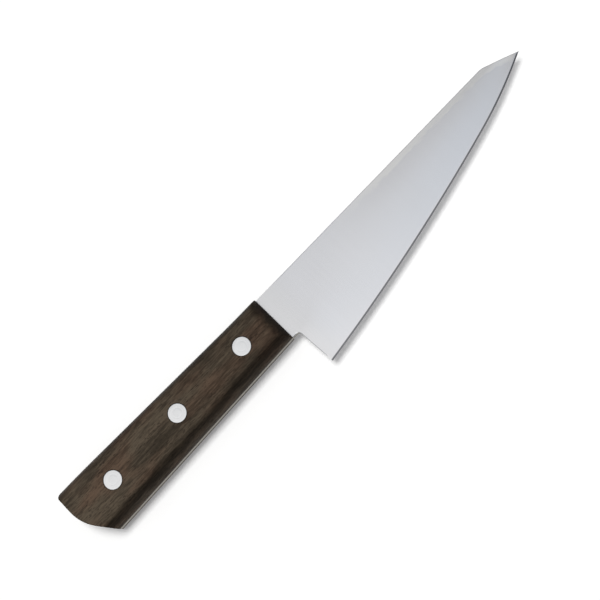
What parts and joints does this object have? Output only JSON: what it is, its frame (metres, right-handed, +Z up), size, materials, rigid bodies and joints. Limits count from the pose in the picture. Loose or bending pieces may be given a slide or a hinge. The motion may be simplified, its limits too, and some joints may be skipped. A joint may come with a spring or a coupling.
{
  "type": "honesuki knife",
  "caption": "Poultry boning knife with a triangular full-tang blade, a clipped point, wooden handle scales and flush round rivets, lying on its side.",
  "frame": {"origin": "under the middle of the knife's footprint, on the surface it lies on", "axes": "+X along the spine to the point, +Y from the edge to the spine, +Z up through the right face of the blade"},
  "size_m": [0.2662, 0.0432, 0.0191],
  "materials": {
    "blade_steel": "satin, polished along the blade",
    "handle_wood": "oiled dark open-grained wood, grain along the handle",
    "rivet_metal": "satin, faced off flush with the wood"
  },
  "bodies": {
    "root": {"blade_and_tang": "blade_steel", "right_scale": "handle_wood", "left_scale": "handle_wood", "front_rivet_pin": "rivet_metal", "front_rivet_socket": "rivet_metal", "middle_rivet_pin": "rivet_metal", "middle_rivet_socket": "rivet_metal", "rear_rivet_pin": "rivet_metal", "rear_rivet_socket": "rivet_metal"}
  },
  "joints": []
}
